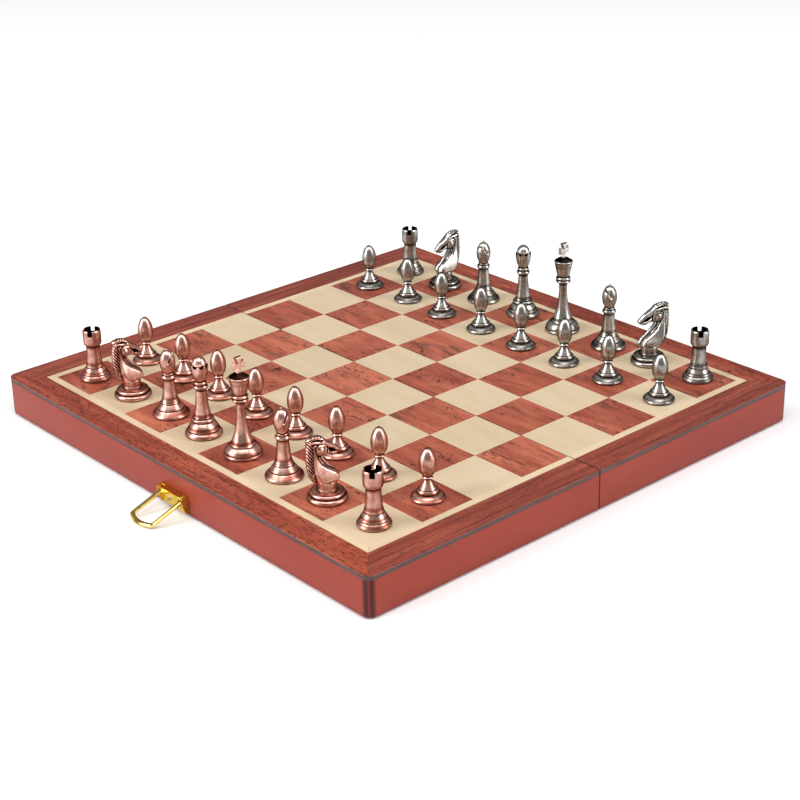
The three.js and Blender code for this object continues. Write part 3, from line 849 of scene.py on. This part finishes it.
def queen():
    def scallop(radius, height, angle):
        if radius <= 4.4:
            return radius, height
        share = min(max((height - CROWN_FOOT) / (CROWN_TOP - CROWN_FOOT), 0), 1)
        return radius, height - CROWN_DIP * abs(math.sin(angle * CROWN_POINTS / 2)) ** 0.85 * share

    # The well darkens the inside of the crown cup as painted shadow between the crown's points.
    cast = turned([
        [(11.4, 0.45), (12, 0.85), (12.15, 1.4), (11.8, 2.7), (10.8, 3.9)],
        [(10.2, 4.1), (10.35, 4.6), (9.9, 5.6), (8.9, 7.6), (7.5, 9.4), (7, 9.8)],
        [(6.8, 10), (7.3, 10.5), (7.4, 11.2), (7, 12), (6.4, 12.4)],
        [(6, 12.7), (5.6, 13.6), (4.9, 17), (4.3, 21), (3.75, 26), (3.35, 31)],
        [(3.4, 31.4), (4.5, 33), (4.85, 33.8), (4.4, 34.7)],
        [(3.7, 35), (4, 35.8), (4.1, 36.5), (3.6, 37.3)],
        [(3.3, 37.7), (3.8, 38.8), (4.7, 41.2), (5.3, 44.2), (5.6, 47), (5.7, CROWN_TOP)],
    ], 11.2, tail=[(5.2, CROWN_TOP), (4.8, 48.4), (4.5, 46.8), (4.3, 46.2), (0, 46.2)], well=(46, 5.3, 1.0),
        sides=64, shape=scallop)
    dome = curve_through([(4.2, 45.5), (4.55, 47.2), (4.65, 49), (4.35, 50.9), (3.45, 52.6), (2.1, 53.8),
                          (0.9, 54.4), (0, 54.6)])
    points, faces, _ = spin(on_line((0, 45.5), *dome))
    # Painted shadow on the dome's lower part, where it shows between the crown's points.
    cast.add(points, faces, [0.9 if z < 49 else 0.0 for _, _, z in points])
    return cast


def king():
    return turned([
        [(11.9, 0.45), (12.3, 0.8), (12.45, 1.4), (12.1, 2.2), (11.9, 2.5)],
        [(11.7, 2.7), (11.8, 3.6), (11, 5.4), (9.6, 7), (8.8, 7.6)],
        [(8.1, 7.8), (7.5, 8.8), (6.1, 12.2), (4.8, 16), (3.9, 20.5), (3.2, 25.5), (2.8, 31), (2.95, 36)],
        [(3.6, 36.4), (4.9, 37.3), (5.3, 38), (4.9, 38.7)],
        [(4.5, 38.95), (5, 39.5), (5.3, 40.2), (4.9, 41), (4.4, 41.5)],
        [(4.3, 41.8), (4.9, 44.5), (5.8, 48.8), (6.35, 51.9)],
        [(6.4, 52.1), (6.65, 52.6), (6.6, 53.2), (6.2, 53.5), (5.6, 53.4)],
    ], 11.2, tail=curve_through([(5.5, 53.45), (4.7, 54.4), (2.9, 55.7), (1.3, 56.3), (0, 56.4)]),
        well=(53.3, 5.7, 0.66))


CROSS_MIDDLE = 61.2
CROSS_DEPTH = 3


def cross():
    """A thick cross whose arms widen towards their ends, with its face towards X."""
    outline = [(0.75, 0.75), (2.6, 5.2), (-2.6, 5.2), (-0.75, 0.75), (-4, 2.7), (-4, -2.7), (-0.75, -0.75),
               (-1.7, -5.8), (1.7, -5.8), (0.75, -0.75), (4, -2.7), (4, 2.7)]
    points, faces = prism([(y, z + CROSS_MIDDLE) for y, z in outline], -CROSS_DEPTH / 2, CROSS_DEPTH / 2)
    return [(x, y, z) for y, z, x in points], faces


# ---------------------------------------------------------------- the knight's horse

# Side views of the horse, as (forward, up) outlines. The nose points to plus, and the horse looks along +X.
CHEST_RIDGE = [(5, 11.9), (8, 12.6), (8.7, 15.6), (6.6, 19), (3.4, 21.8), (0.8, 24.6), (-1.4, 27.4),
               (-2.6, 30), (-4, 33), (-9, 40), (-12, 41), (-13.4, 36), (-13.6, 27), (-12.6, 20),
               (-11, 15.6), (-7, 11.9)]
CHEST = [(5.6, 11.9), (7.6, 13.6), (7, 16.6), (4.6, 19.4), (1.5, 21.8), (-1.2, 24.4), (-3.6, 27.4),
         (-5.2, 31), (-8, 37), (-12, 38), (-12.6, 27), (-11.4, 19), (-7, 11.9)]
FLANK = [(4.6, 11.9), (6.9, 12.8), (7.4, 14.8), (6.6, 17.2), (4.6, 19.6), (1.8, 21.6), (-1.4, 23.6),
         (-4.3, 26.2), (-6.1, 29.6), (-7, 34), (-8.4, 39), (-11, 39), (-11.2, 27), (-10.4, 20), (-9, 15.6),
         (-6.6, 11.9)]
MANE = [(-11, 42), (-9.2, 38), (-9.3, 28), (-8.8, 21), (-7.9, 16), (-9.2, 13), (-11.8, 17), (-13.1, 24),
        (-13.4, 30), (-13.3, 36), (-12.6, 40.5)]
HEAD = [(-11, 42), (-7.6, 42.8), (-2.8, 42.2), (0.3, 39.3), (5.1, 36), (8.8, 32.2), (9.3, 30.6), (8, 29.1),
        (5, 28.2), (3.2, 28.5), (1.5, 29.7), (-1, 30.1), (-3.4, 30.2), (-6, 31), (-8.6, 34), (-10, 38)]
FORELOCK = [(-0.6, 39.6), (-2.2, 42), (-4.6, 43.2), (-8.4, 43.9), (-12.6, 43.2), (-13.2, 41.6), (-8, 41.8),
            (-4, 40.8)]
# Chains of balls, and single balls, on each side of the head, as (forward, sideways, up, radius).
EAR = [(-2.6, 2.7, 38.4, 0.6), (-6.2, 3, 39.8, 0.95), (-9.4, 2.8, 40.4, 0.9), (-12, 2.2, 40, 0.5)]
BROW = [(-2.6, 2.7, 37, 0.5), (-1, 2.6, 37.4, 0.6), (0.6, 2.2, 36, 0.4)]
NOSE_GROOVE = [(0.2, 3.4, 34.4, 1), (3.2, 3, 32.6, 1.5), (6.2, 2.6, 31, 0.7)]
MOUTH = [(4.8, 2.3, 29.3, 0.3), (9.2, 1.8, 29.7, 0.5)]
EAR_GROOVE = [(-2.8, 3.2, 37.6, 0.4), (-6.2, 3.3, 38.1, 0.6), (-9.6, 3.2, 38.8, 0.6), (-12.2, 2.8, 38.8, 0.4)]
CROWN_GROOVE = [(-3.2, 3, 40.2, 0.5), (-6.6, 2.8, 41.6, 0.8), (-10.6, 2.6, 41.9, 0.8)]
CHEEK = (-4.8, 34)
CHEEK_RADIUS = 4.1
CHEEK_CROWN = 3.6
MOAT_RADIUS = 0.4
EYE_SOCKET = (-1, 2.5, 36.1, 0.9)
EYEBALL = (-1, 2.3, 36.1, 0.6)
NOSTRIL = (6.8, 2, 30.9, 0.55)
CURL = (-9.4, 18.6)
CURL_RADIUS = 1.4
NECK_FOOT = 11.9
LOCK_PITCH = 2.4
LOCK_SLOPE = 1.4


def chain_distance(grid, chain):
    """Distance from every grid point to a chain of balls, on both sides of the head."""
    side = np.abs(grid[1])
    best = None
    for (f0, s0, z0, r0), (f1, s1, z1, r1) in zip(chain, chain[1:]):
        axis = np.array((f1 - f0, s1 - s0, z1 - z0))
        away = (grid[0] - f0, side - s0, grid[2] - z0)
        along = np.clip(sum(a * b for a, b in zip(away, axis)) / axis.dot(axis), 0, 1)
        gap = np.sqrt(sum((a - along * b) ** 2 for a, b in zip(away, axis))) - (r0 + along * (r1 - r0))
        best = gap if best is None else np.minimum(best, gap)
    return best


def ball_distance(grid, ball):
    forward, sideways, up, radius = ball
    away = (grid[0] - forward) ** 2 + (np.abs(grid[1]) - sideways) ** 2 + (grid[2] - up) ** 2
    return np.sqrt(away) - radius


def outline_distance(grid, outline):
    """Distance in the side view from every grid point to an outline, below zero inside it."""
    forward, up = grid[0], grid[2]
    nearest = np.full(forward.shape, 99.0)
    inside = np.zeros(forward.shape, bool)
    for (f0, z0), (f1, z1) in zip(outline, outline[1:] + outline[:1]):
        run, rise = f1 - f0, z1 - z0
        along = np.clip(((forward - f0) * run + (up - z0) * rise) / (run * run + rise * rise), 0, 1)
        gap = np.hypot(forward - f0 - along * run, up - z0 - along * rise)
        nearest = np.minimum(nearest, gap)
        if rise:
            crossing = f0 + (up - z0) / rise * run
            inside ^= ((z0 > up) != (z1 > up)) & (forward < crossing)
    return np.where(inside, -nearest, nearest)


def pillow(grid, outline, half, rim, swell=0):
    """A body with that outline from the side, so thick each way, and rounded off over the rim width."""
    flat = np.maximum(1 + (outline_distance(grid, outline) - swell) / rim, 0)
    return (np.hypot(flat, np.abs(grid[1]) / half) - 1) * min(rim, 2.4)


def melted(first, second, width):
    """Union of two distance fields with a fillet of that width."""
    share = np.clip(0.5 + 0.5 * (second - first) / width, 0, 1)
    return second * (1 - share) + first * share - width * share * (1 - share)


def eased(value, start, end, first, last):
    """From first to last as the value goes from start to end."""
    share = np.clip((value - start) / (end - start), 0, 1)
    return first + (last - first) * share * share * (3 - 2 * share)


def mane(grid):
    """The mane: slanting locks down the back of the neck, ending in a curl."""
    forward, sideways, up = grid
    lock = np.abs(np.sin(math.pi * (up + LOCK_SLOPE * forward) / LOCK_PITCH))
    half = eased(up, 16, 24, 2.5, 3) + 1.6 * (lock - 0.75)
    locks = pillow(grid, MANE, half, 1.5, swell=0.5 * (lock - 0.6))
    ring = np.hypot(forward - CURL[0], (up - CURL[1]) / 1.5) - CURL_RADIUS
    curl = np.hypot(ring, np.abs(sideways) - 2.5) - 0.55
    return melted(locks, curl, 0.15)


def forelock(grid):
    """Locks swept back over the top of the head."""
    lock = np.abs(np.sin(math.pi * (grid[0] - 1.1 * grid[2]) / 2.3))
    return pillow(grid, FORELOCK, 1.9 + 0.9 * (lock - 0.6), 1, swell=0.4 * (lock - 0.6))


def horse_head(grid):
    """The head with its grooves, round cheek, eye, nostril, brow and ear."""
    forward, sideways, up = grid
    side = np.abs(sideways)
    head = pillow(grid, HEAD, eased(forward, -2, 8, 3.2, 2.3), 2.2)
    for groove in (NOSE_GROOVE, MOUTH, EAR_GROOVE, CROWN_GROOVE):
        head = np.maximum(head, -chain_distance(grid, groove))
    radial = np.hypot(forward - CHEEK[0], up - CHEEK[1])
    moat = np.hypot(radial - CHEEK_RADIUS - MOAT_RADIUS, np.maximum(2.4 - side, 0)) - MOAT_RADIUS
    cheek = (np.hypot(radial, side) / CHEEK_RADIUS - 1) * CHEEK_CROWN
    head = np.minimum(np.maximum(head, -moat), cheek)
    head = np.maximum(head, -ball_distance(grid, EYE_SOCKET))
    head = np.minimum(head, ball_distance(grid, EYEBALL))
    head = np.maximum(head, -ball_distance(grid, NOSTRIL))
    head = melted(head, chain_distance(grid, BROW), 0.2)
    return melted(head, chain_distance(grid, EAR), 0.15)


def horse_field(grid):
    up = grid[2]
    body = pillow(grid, CHEST_RIDGE, eased(up, 14, 30, 1.7, 1.3), 1.5)
    body = melted(body, pillow(grid, CHEST, eased(up, 15, 30, 3.6, 1.9), 1.4), 0.1)
    body = melted(body, pillow(grid, FLANK, eased(up, 15, 31, 5.8, 3.1), 2.2), 0.1)
    whole = np.minimum(np.minimum(body, horse_head(grid)), mane(grid))
    whole = melted(whole, forelock(grid), 0.15)
    return np.maximum(whole, NECK_FOOT - up)


HORSE_VOXEL = 0.25


def horse():
    """Points and faces of the horse, from its distance field."""
    low = np.array((-16, -7, 11))
    high = np.array((11, 7, 46))
    counts = np.ceil((high - low) / HORSE_VOXEL).astype(int)
    axes = [low[k] + HORSE_VOXEL * np.arange(counts[k]) for k in range(3)]
    field = horse_field(np.meshgrid(*axes, indexing="ij"))
    volume = openvdb.FloatGrid(background=5)
    volume.copyFromArray(field.astype(np.float32))
    points, triangles, quads = volume.convertToPolygons(isovalue=0, adaptivity=0)
    faces = [tuple(map(int, face)) for face in (*quads, *triangles)]
    edges = np.array(sorted({tuple(sorted(pair)) for f in faces for pair in zip(f, f[1:] + f[:1])}))
    points = relaxed(points * HORSE_VOXEL + low, edges, 2, 0.4)
    return [tuple(p) for p in points], faces, list(cavity_and_shade(points, faces, edges))


def relaxed(points, edges, rounds, amount):
    """Each point moved towards the mean of its neighbours, a few times."""
    moved = np.array(points, float)
    for _ in range(rounds):
        moved += (neighbour_mean(moved, edges) - moved) * amount
    return moved


def neighbour_mean(values, edges):
    total = np.zeros_like(values)
    count = np.zeros(len(values))
    for a, b in ((0, 1), (1, 0)):
        np.add.at(total, edges[:, a], values[edges[:, b]])
        np.add.at(count, edges[:, a], 1)
    return total / count.reshape(-1, *([1] * (values.ndim - 1)))


def cavity_and_shade(points, faces, edges, rounds=26, depth=0.13):
    """How sunken the surface is round each point, from 0 to 1, as patina, with painted shade added on steep
    faces.
    """
    corners = points[np.array([f[:3] for f in faces])]
    normals = np.zeros_like(points)
    face_normals = np.cross(corners[:, 1] - corners[:, 0], corners[:, 2] - corners[:, 0])
    for k in range(3):
        np.add.at(normals, np.array([f[k] for f in faces]), face_normals)
    normals /= np.linalg.norm(normals, axis=1, keepdims=True) + 1e-12
    lift = ((relaxed(points, edges, rounds, 0.5) - points) * normals).sum(1)
    if ((points - points.mean(0)) * normals).sum() < 0:
        lift = -lift
    # Painted shade on steep faces is added to the patina here.
    return np.clip(lift / depth, 0, 1) + 0.8 * STEEP_SHADE * (1 - np.abs(normals[:, 2])) ** 2


def knight():
    cast = turned([
        [(11.7, 0.45), (12.3, 1), (12.5, 2), (12.1, 3.1), (11.3, 3.7)],
        [(10.4, 3.9), (10.8, 4.7), (10.6, 5.6), (9.6, 6.3), (7.8, 6.8), (6.6, 6.9)],
        [(6, 7.1), (5.8, 8), (5.75, 10), (5.8, 12.2), (5.6, 12.9)],
    ], 10.8, tail=[(0, 12.9)])
    cast.add(*horse())
    return cast


# ---------------------------------------------------------------- setting the pieces out

PIECE_MAKERS = {"pawn": pawn, "rook": rook, "bishop": bishop, "queen": queen, "king": king, "knight": knight}


def add_cross(piece):
    """Joins the cross to the king's mesh, with small bevels."""
    part = bevelled(build("cross", *cross(), [piece.data.materials[0]]), 0.35)
    set_attribute(part, "recess", [0] * len(part.data.vertices))
    join(piece, part)


def join(piece, other):
    """Moves the other's mesh into the piece."""
    reworked(piece.data, lambda work: work.from_mesh(other.data))
    bpy.data.objects.remove(other)


SLIT_TILT = math.radians(65)
SLIT_FOOT = (1, 0, 37.6)
SLIT_HALF = 0.7
BISHOP_TURNS = {"c1": 49, "f1": 53, "c8": -82, "f8": -108}


def cut_slit(piece):
    """The bishop's slit: a slot cut steeply down into one side of the egg."""
    slab = build("slit", *block((0, -6, -SLIT_HALF), (12, 6, SLIT_HALF)), [piece.data.materials[0]])
    slab.data.transform(Matrix.Translation(Vector(SLIT_FOOT) * MM) @ Matrix.Rotation(-SLIT_TILT, 4, "Y"))
    set_attribute(slab, "recess", [1] * len(slab.data.vertices))
    combined(piece, slab, "DIFFERENCE")


def standing(node):
    """Where a piece stands: the middle of its base, at its lowest point, in metres."""
    low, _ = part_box(node)
    base = [v.co for v in frame["nodes"][node].data.vertices if v.co.z < low.z + 3 * MM]
    middle = [(min(p[k] for p in base) + max(p[k] for p in base)) / 2 for k in range(2)]
    return Vector((*middle, low.z))


def facing(node, base):
    """Which way a knight looks: away from its mane, which overhangs the back of its base."""
    crown = [v.co for v in frame["nodes"][node].data.vertices if v.co.z > base.z + 20 * MM]
    mean = sum(crown, Vector()) / len(crown) - base
    return math.atan2(-mean.y, -mean.x)


FINISHERS = {"king": add_cross, "bishop": cut_slit}


def build_army():
    made = {}
    for node in sorted(frame["nodes"]):
        words = node.split("_")
        if words[0] not in METALS or words[1] not in PIECE_MAKERS:
            continue
        metal, kind, square = words
        if (metal, kind) not in made:
            draft = show("draft", PIECE_MAKERS[kind]().mesh(f"{metal}_{kind}", METALS[metal]))
            if kind in FINISHERS:
                FINISHERS[kind](draft)
            made[metal, kind] = draft.data
            bpy.data.objects.remove(draft)
        piece = show(f"{metal}_{kind}_{square}_cast", made[metal, kind])
        piece.location = standing(node)
        turn = facing(node, piece.location) if kind == "knight" else math.radians(BISHOP_TURNS.get(square, 0))
        piece.rotation_euler = (0, 0, turn)
        fit(piece, node, f"antique_{metal}", node)


# ---------------------------------------------------------------- latch, keeper and hinges

LOOP_WIDTH = 24.4
LOOP_LENGTH = 28.4
LOOP_BOW = 3.4
LOOP_BAR = 2.9
LOOP_HEEL = 0.9
LOOP_THICKNESS = 2.4
LOOP_PLAY = 0.4
LOOP_STEPS = 28
PIVOT_RADIUS = 0.8
STUB_REACH = 1.2
SHEET = 1
HOOD_BOTTOM = 8.8
CHEEK_BOTTOM = 6.9
HOOK_HALF_WIDTH = 4.5
SCREW_DOME = 0.7
SCREW_LENGTH = 6
HINGE_SCREW = (1.2, 0.18, 4)
HINGE_SCREW_STEP = 13
HINGE_SCREW_HIGH = 6.6
HINGE_SCREW_LOW = 5.2


def riveted(piece, name, outline, x0, x1):
    """Adds a plate with that outline in Y and Z, from one X to another."""
    points, faces = prism(outline, x0, x1)
    points = [(x, y, z) for y, z, x in points]
    combined(piece, build(name, points, faces, [BRASS]), "UNION")


def bracket():
    """The folded brass bracket: back plate, a hood between the loop's arms, and two cheeks."""
    low, high = box_mm("latch_bracket")
    face, top, lip = high[1], high[2], low[1]
    middle = (low[0] + high[0]) / 2
    half = LOOP_WIDTH / 2 - LOOP_BAR - LOOP_PLAY
    slope = top - 0.6
    hood = [(face, top), (lip, slope), (lip, HOOD_BOTTOM), (lip + SHEET, HOOD_BOTTOM),
            (lip + SHEET, slope - SHEET), (face, top - SHEET)]
    cheek = [(face, low[2]), (face, top), (lip, slope), (lip, CHEEK_BOTTOM), (face - 1.6, low[2])]
    piece = build("brass_bracket", *block((low[0], face - SHEET, low[2]), high), [BRASS])
    riveted(piece, "hood", hood, middle - half, middle + half)
    for x0 in (low[0], high[0] - SHEET):
        riveted(piece, "cheek", cheek, x0, x0 + SHEET)
    bevelled(piece, 0.2, 2, 40)
    fit(piece, "front_half", "polished_brass", "latch_bracket")


def loop_edge(inset):
    """The loop's edge from the end of one arm round the bowed end to the other, inset from the outside."""
    half = LOOP_WIDTH / 2
    bow = (half * half + LOOP_BOW * LOOP_BOW) / (2 * LOOP_BOW)
    radius = bow - inset
    reach = math.asin((half - inset) / radius)
    angles = [reach * (2 * i / LOOP_STEPS - 1) for i in range(LOOP_STEPS + 1)]
    arc = [(radius * math.sin(a), bow - LOOP_LENGTH - radius * math.cos(a)) for a in angles]
    return rounded([(inset - half, LOOP_HEEL), *arc, (half - inset, LOOP_HEEL)], max(1.8 - inset * 0.4, 0.5))


def rounded(line, radius, steps=6):
    """The line with its second and last but one points rounded off."""
    line = [Vector(p) for p in line]
    for at in (len(line) - 2, 1):
        here = line[at]
        start, end = (here + (line[at + k] - here).normalized() * radius for k in (-1, 1))
        shares = [k / steps for k in range(steps + 1)]
        line[at:at + 1] = [start * (1 - t) ** 2 + here * 2 * t * (1 - t) + end * t * t for t in shares]
    return line


def latch_loop():
    """The bail: a bar with bevelled edges, bowed at its end, and a stub on each arm."""
    half = LOOP_THICKNESS / 2
    section = [(0.5, -half), (0, -half + 0.5), (0, half - 0.7), (0.7, half), (1.3, half),
               (LOOP_BAR, half - 0.9), (LOOP_BAR, -half + 0.5), (LOOP_BAR - 0.5, -half)]
    points, faces = swept([[(x, y, z) for x, y in loop_edge(inset)] for inset, z in section])
    piece = build("brass_loop", points, faces, [BRASS])
    inner = LOOP_WIDTH / 2 - LOOP_BAR / 2
    outer = LOOP_WIDTH / 2 + STUB_REACH
    rod = on_line((0, inner), (PIVOT_RADIUS, inner), (PIVOT_RADIUS, outer - 0.2), (PIVOT_RADIUS - 0.2, outer),
                  (0, outer))
    points, faces, _ = spin(rod, sides=24)
    for side in (-1, 1):
        join(piece, build("stub", [(side * z, x, y) for x, y, z in points], faces, [BRASS]))
    place_loop(piece)
    fit(piece, "latch_loop", "polished_brass", "latch_loop")


def place_loop(piece):
    """Turns the loop about its pivot until it hangs as low as the CAD loop."""
    low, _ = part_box("latch_loop")
    pivot = Vector(next(j for j in frame["joints"] if j["name"] == "latch_swing")["pos_m"])
    droop = math.asin((pivot.z - low.z - LOOP_THICKNESS / 2 * MM) / (LOOP_LENGTH * MM))
    piece.data.transform(Matrix.Translation(pivot) @ Matrix.Rotation(droop, 4, "X"))


def keeper():
    """The keeper plate, with the hook that the loop catches."""
    low, high = box_mm("latch_keeper")
    middle = (low[0] + high[0]) / 2
    face = low[1]
    hook = [(face, 8.5), (face + SHEET, 8.5), (high[1], 11.9), (high[1], 13.5), (face, 13.5)]
    piece = build("brass_keeper", *block(low, (high[0], face + SHEET, high[2])), [BRASS])
    riveted(piece, "catch", hook, middle - HOOK_HALF_WIDTH, middle + HOOK_HALF_WIDTH)
    bevelled(piece, 0.25, 2, 40)
    fit(piece, "back_half", "polished_brass", "latch_keeper")


def screw_mesh(name, radius, dome, length):
    """A domed screw along +Z with its head's underside at zero, and a cross cut into the head."""
    outline = on_line((0, -length), (0.5 * radius, 0.6 - length), (0.55 * radius, 0), (radius, 0),
                      (radius, dome * 0.35), (radius * 0.8, dome * 0.8), (0, dome))
    piece = build(name, *spin(outline, sides=24)[:2], [STEEL])
    for turn in (0, 1):
        arm = build("arm", *block((-radius * 0.6, -radius * 0.12, dome * 0.3),
                                  (radius * 0.6, radius * 0.12, dome + 1)), [STEEL])
        arm.data.transform(Matrix.Rotation(turn * math.pi / 2, 4, "Z"))
        combined(piece, arm, "DIFFERENCE")
    return piece


def set_screw(name, size, spot, way, body, *nodes):
    """A screw of (head radius, dome, length) at a spot, with its head towards plus or minus Y."""
    piece = screw_mesh(name, *size)
    turn = Matrix.Rotation(-way * math.pi / 2, 4, "X")
    piece.data.transform(Matrix.Translation(Vector(spot) * MM) @ turn)
    fit(piece, body, "steel", *nodes)


def outer_screw(node, body, way):
    """A screw that holds the latch or the keeper, in place of its CAD screw."""
    low, high = box_mm(node)
    top = low[1] if way < 0 else high[1]
    spot = ((low[0] + high[0]) / 2, top - way * SCREW_DOME, (low[2] + high[2]) / 2)
    size = ((high[0] - low[0]) / 2, SCREW_DOME, SCREW_LENGTH)
    set_screw(f"{node}_cross", size, spot, way, body, node)


def hinge_screws(side):
    """Six small screws in the leaves of one hinge."""
    for leaf, body, way in (("front_leaf", "front_half", 1), ("back_leaf", "back_half", -1)):
        low, high = box_mm(f"{side}_hinge_{leaf}")
        middle = (low[0] + high[0]) / 2
        for k in (-1, 0, 1):
            height = HINGE_SCREW_HIGH if k else HINGE_SCREW_LOW
            spot = (middle + k * HINGE_SCREW_STEP, -way * SEAM_FACE, height)
            set_screw(f"{side}_{leaf}_screw_{k + 2}", HINGE_SCREW, spot, way, body)


def build_hardware():
    bracket()
    latch_loop()
    keeper()
    for word in ("left", "right"):
        outer_screw(f"latch_screw_{word}", "front_half", -1)
        outer_screw(f"keeper_screw_{word}", "back_half", 1)
        hinge_screws(word)
        for part in ("front_leaf", "back_leaf"):
            paint_node(f"{word}_hinge_{part}", BRASS)
        paint_node(f"{word}_hinge_pin", STEEL)


# ---------------------------------------------------------------- camera, light and floor

CAMERA_PLACE = Vector((0.8515, -0.7423, 0.5330))
CAMERA_AZIMUTH = math.radians(48.69)
CAMERA_ELEVATION = math.radians(24.80)
CAMERA_ROLL = math.radians(-1.224)
LENS = 81.62
SENSOR = 36


def add_camera():
    data = bpy.data.cameras.new("camera")
    data.lens = LENS
    data.sensor_width = SENSOR
    camera = show("camera", data)
    a, e = CAMERA_AZIMUTH, CAMERA_ELEVATION
    forward = Vector((-math.sin(a) * math.cos(e), math.cos(a) * math.cos(e), -math.sin(e)))
    level = Vector((math.cos(a), math.sin(a), 0))
    raised = level.cross(forward)
    right = level * math.cos(CAMERA_ROLL) + raised * math.sin(CAMERA_ROLL)
    up = right.cross(forward)
    turn = Matrix((right, up, -forward)).transposed()
    camera.matrix_world = Matrix.Translation(CAMERA_PLACE) @ turn.to_4x4()
    bpy.context.scene.camera = camera


def add_softbox(name, azimuth, elevation, size, share):
    """A large soft lamp that looks at the middle of the board. Azimuth 0 is on the camera's side.

    share is the lamp's part of the light on the board, where 1 shows white as white.
    """
    distance = 4
    data = bpy.data.lights.new(name, "AREA")
    data.shape = "RECTANGLE"
    data.size, data.size_y = size
    a = CAMERA_AZIMUTH + math.radians(azimuth)
    e = math.radians(elevation)
    data.energy = share * (math.pi * distance) ** 2 / math.sin(e)
    lamp = show(name, data)
    back = Vector((math.sin(a) * math.cos(e), -math.cos(a) * math.cos(e), math.sin(e)))
    lamp.location = back * distance
    lamp.rotation_euler = back.to_track_quat("Z", "Y").to_euler()


def add_lights():
    world = bpy.data.worlds.new("studio")
    world.use_nodes = True
    background = world.node_tree.nodes["Background"]
    background.inputs["Color"].default_value = (1, 1, 1, 1)
    background.inputs["Strength"].default_value = 0.25
    bpy.context.scene.world = world
    add_softbox("left_softbox", -72, 27, (1.6, 3.8), 0.44)
    add_softbox("right_softbox", 72, 27, (1.6, 3.8), 0.33)
    add_softbox("top_softbox", 0, 66, (3.4, 2.4), 0.5)
    bpy.context.scene.view_settings.view_transform = "Standard"


def add_floor(low):
    size = 6000
    drop = low.z / MM
    points = [(x, y, drop) for x, y in ((-size, -size), (size, -size), (size, size), (-size, size))]
    plain = Shader("floor", Roughness=0.8)
    plain.plug("Base Color", (1, 1, 1, 1))
    build("floor", points, [(0, 1, 2, 3)], [plain.material])


add_camera()
build_halves()
build_army()
build_hardware()
add_lights()
add_floor(cad_box[0])
